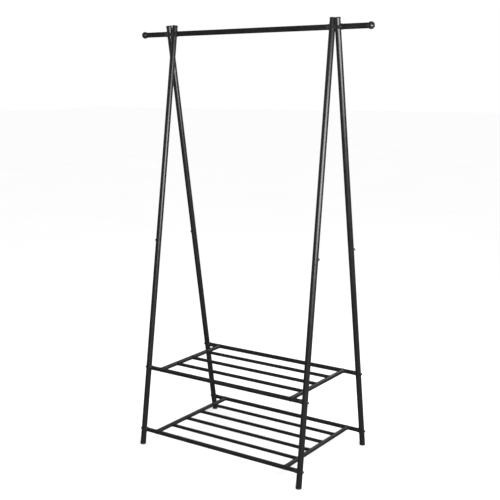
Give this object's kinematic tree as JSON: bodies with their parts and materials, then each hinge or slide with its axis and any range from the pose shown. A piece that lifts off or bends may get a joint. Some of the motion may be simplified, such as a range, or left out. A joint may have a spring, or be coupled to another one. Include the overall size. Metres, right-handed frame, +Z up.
{
  "type": "garment rail",
  "caption": "Free-standing A-frame garment rail in black steel tube, with a hanging rail ending in ball finials and slatted shoe shelves between the legs.",
  "frame": {"origin": "on the floor, in the middle of the four feet, below the middle of the hanging rail", "axes": "+X along the hanging rail to the right, +Y to the back, +Z up; the front legs pass inside the back legs"},
  "size_m": [0.95, 0.4598, 1.51],
  "materials": {
    "black_powder_coat": "satin black powder coat on steel tube",
    "cap_plastic": "moulded black polyethylene, fine texture",
    "foot_rubber": "matt black moulded foot",
    "ball_plastic": "semi-gloss moulded black plastic",
    "spacer_plastic": "moulded black nylon",
    "black_screw_steel": "black oxide steel, semi-gloss",
    "zinc_steel": "bright zinc plating"
  },
  "bodies": {
    "root": {"crossing_saddles": "spacer_plastic", "crossing_studs": "zinc_steel", "end_ball_left": "ball_plastic", "end_ball_right": "ball_plastic", "end_stub_left": "black_powder_coat", "end_stub_right": "black_powder_coat", "foot_cap_back_left": "foot_rubber", "foot_cap_back_right": "foot_rubber", "foot_cap_front_left": "foot_rubber", "foot_cap_front_right": "foot_rubber", "hanging_rail": "black_powder_coat", "leg_joint_nuts": "zinc_steel", "leg_joint_screws": "black_screw_steel", "leg_top_cap_back_left": "cap_plastic", "leg_top_cap_back_right": "cap_plastic", "leg_top_cap_front_left": "cap_plastic", "leg_top_cap_front_right": "cap_plastic", "lower_leg_back_left": "black_powder_coat", "lower_leg_back_right": "black_powder_coat", "lower_leg_front_left": "black_powder_coat", "lower_leg_front_right": "black_powder_coat", "lower_shelf_back_rail": "black_powder_coat", "lower_shelf_front_rail": "black_powder_coat", "lower_shelf_left_cross_tube": "black_powder_coat", "lower_shelf_right_cross_tube": "black_powder_coat", "lower_shelf_screws": "black_screw_steel", "lower_shelf_slat_1": "black_powder_coat", "lower_shelf_slat_2": "black_powder_coat", "lower_shelf_slat_3": "black_powder_coat", "lower_shelf_slat_4": "black_powder_coat", "lower_shelf_spacers": "spacer_plastic", "lower_shelf_threaded_inserts": "zinc_steel", "rail_inner_spacers": "spacer_plastic", "rail_outer_spacers": "spacer_plastic", "rail_threaded_inserts": "zinc_steel", "stub_threaded_inserts": "zinc_steel", "upper_leg_back_left": "black_powder_coat", "upper_leg_back_right": "black_powder_coat", "upper_leg_front_left": "black_powder_coat", "upper_leg_front_right": "black_powder_coat", "upper_shelf_back_rail": "black_powder_coat", "upper_shelf_front_rail": "black_powder_coat", "upper_shelf_left_cross_tube": "black_powder_coat", "upper_shelf_right_cross_tube": "black_powder_coat", "upper_shelf_screws": "black_screw_steel", "upper_shelf_slat_1": "black_powder_coat", "upper_shelf_slat_2": "black_powder_coat", "upper_shelf_slat_3": "black_powder_coat", "upper_shelf_spacers": "spacer_plastic", "upper_shelf_threaded_inserts": "zinc_steel"}
  },
  "joints": []
}
